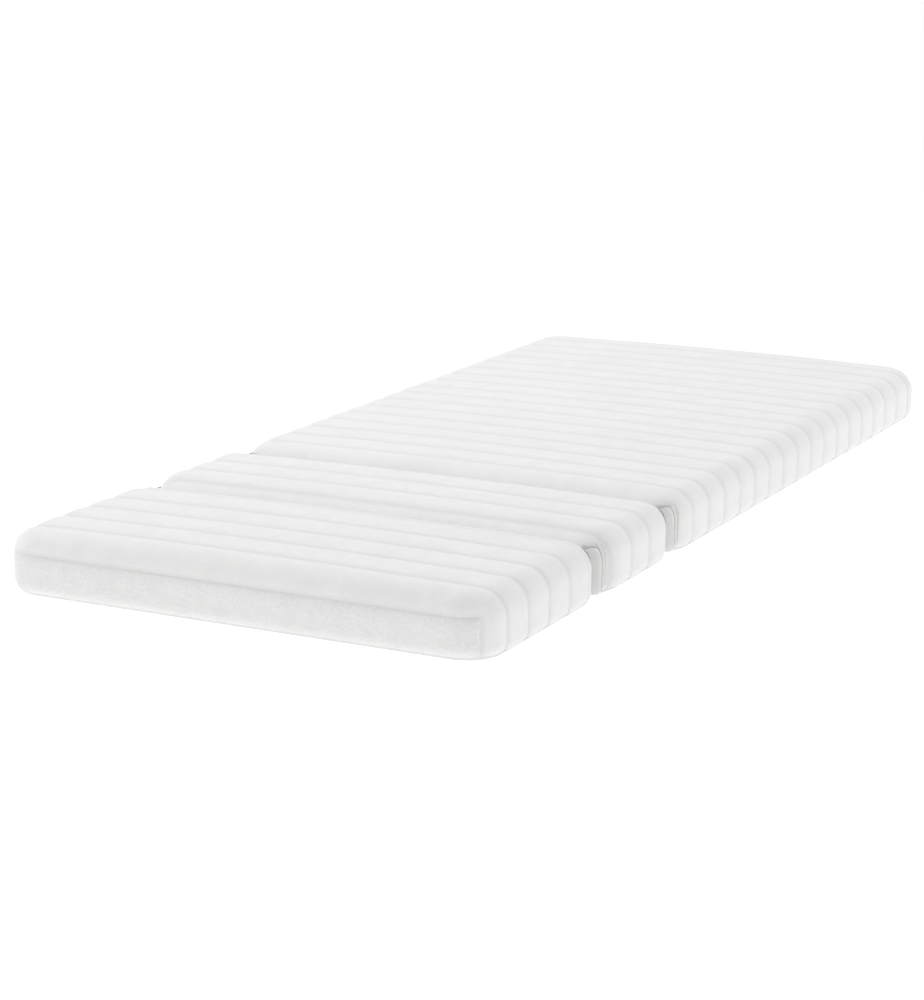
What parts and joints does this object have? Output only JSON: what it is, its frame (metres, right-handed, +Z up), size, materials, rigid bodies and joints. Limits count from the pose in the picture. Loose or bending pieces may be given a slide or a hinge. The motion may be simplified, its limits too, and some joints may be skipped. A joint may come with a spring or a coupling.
{
  "type": "folding foam mattress",
  "caption": "Thin folding foam mattress for a chair-bed or guest bed: long head section, middle and foot sections hinged at the underside, quilted white velour cover",
  "frame": {"origin": "On the surface the mattress lies on, under the middle of its length and width.", "axes": "+X across the mattress, to the right as seen from the foot end; +Y along it from the foot end to the head end; +Z up."},
  "size_m": [0.8, 1.88, 0.1],
  "materials": {
    "quilted_velour": "white cotton and polyester velour, channel quilted",
    "plain_velour": "white terry velour, unquilted",
    "underside_cloth": "plain off-white knit",
    "fold_cloth": "thin off-white knit, pleated",
    "wadding": "white polyester wadding",
    "memory_foam": "cream slow-recovery foam, fine open cells",
    "base_foam": "pale grey resilient foam, open cells",
    "zip_tape": "white woven tape",
    "zip_coil": "white nylon coil",
    "zip_metal": "nickel-plated die casting",
    "label": "blank satin ribbon"
  },
  "bodies": {
    "head_section": {"base_foam_head": "base_foam", "memory_foam_head": "memory_foam", "wadding_head": "wadding", "quilted_cover_head": "quilted_velour", "underside_panel_head": "underside_cloth", "head_end_panel": "plain_velour", "care_label": "label", "zip_tape_lower": "zip_tape", "zip_tape_upper": "zip_tape", "zip_coil_lower": "zip_coil", "zip_coil_upper": "zip_coil", "zip_stop_left": "zip_metal", "zip_stop_right": "zip_metal", "fold_tuck_2": "quilted_velour", "fold_hinge_seam_2": "underside_cloth", "fold_pleats_2_left": "fold_cloth", "fold_pleats_2_right": "fold_cloth"},
    "middle_section": {"base_foam_middle": "base_foam", "memory_foam_middle": "memory_foam", "wadding_middle": "wadding", "quilted_cover_middle": "quilted_velour", "underside_panel_middle": "underside_cloth", "fold_tuck_1": "quilted_velour", "fold_hinge_seam_1": "underside_cloth", "fold_pleats_1_left": "fold_cloth", "fold_pleats_1_right": "fold_cloth"},
    "foot_section": {"base_foam_foot": "base_foam", "memory_foam_foot": "memory_foam", "wadding_foot": "wadding", "quilted_cover_foot": "quilted_velour", "underside_panel_foot": "underside_cloth", "foot_end_panel": "plain_velour"},
    "zip_slider": {"zip_slider": "zip_metal"},
    "zip_pull": {"zip_pull": "zip_metal"}
  },
  "joints": [
    {"name": "fold_2", "type": "hinge", "parent": "head_section", "child": "middle_section", "pos_m": [0, -0.275, 0], "axis": [1, 0, 0], "range_deg": [0, 90]},
    {"name": "fold_1", "type": "hinge", "parent": "middle_section", "child": "foot_section", "pos_m": [0, -0.554, 0], "axis": [1, 0, 0], "range_deg": [0, 90]},
    {"name": "zip_run", "type": "slide", "parent": "head_section", "child": "zip_slider", "axis": [-1, 0, 0], "range_m": [0, 0.589]},
    {"name": "zip_pull_swing", "type": "hinge", "parent": "zip_slider", "child": "zip_pull", "pos_m": [0.2945, 0.9383, 0.046], "axis": [0, 0, -1], "range_deg": [0, 180]}
  ]
}
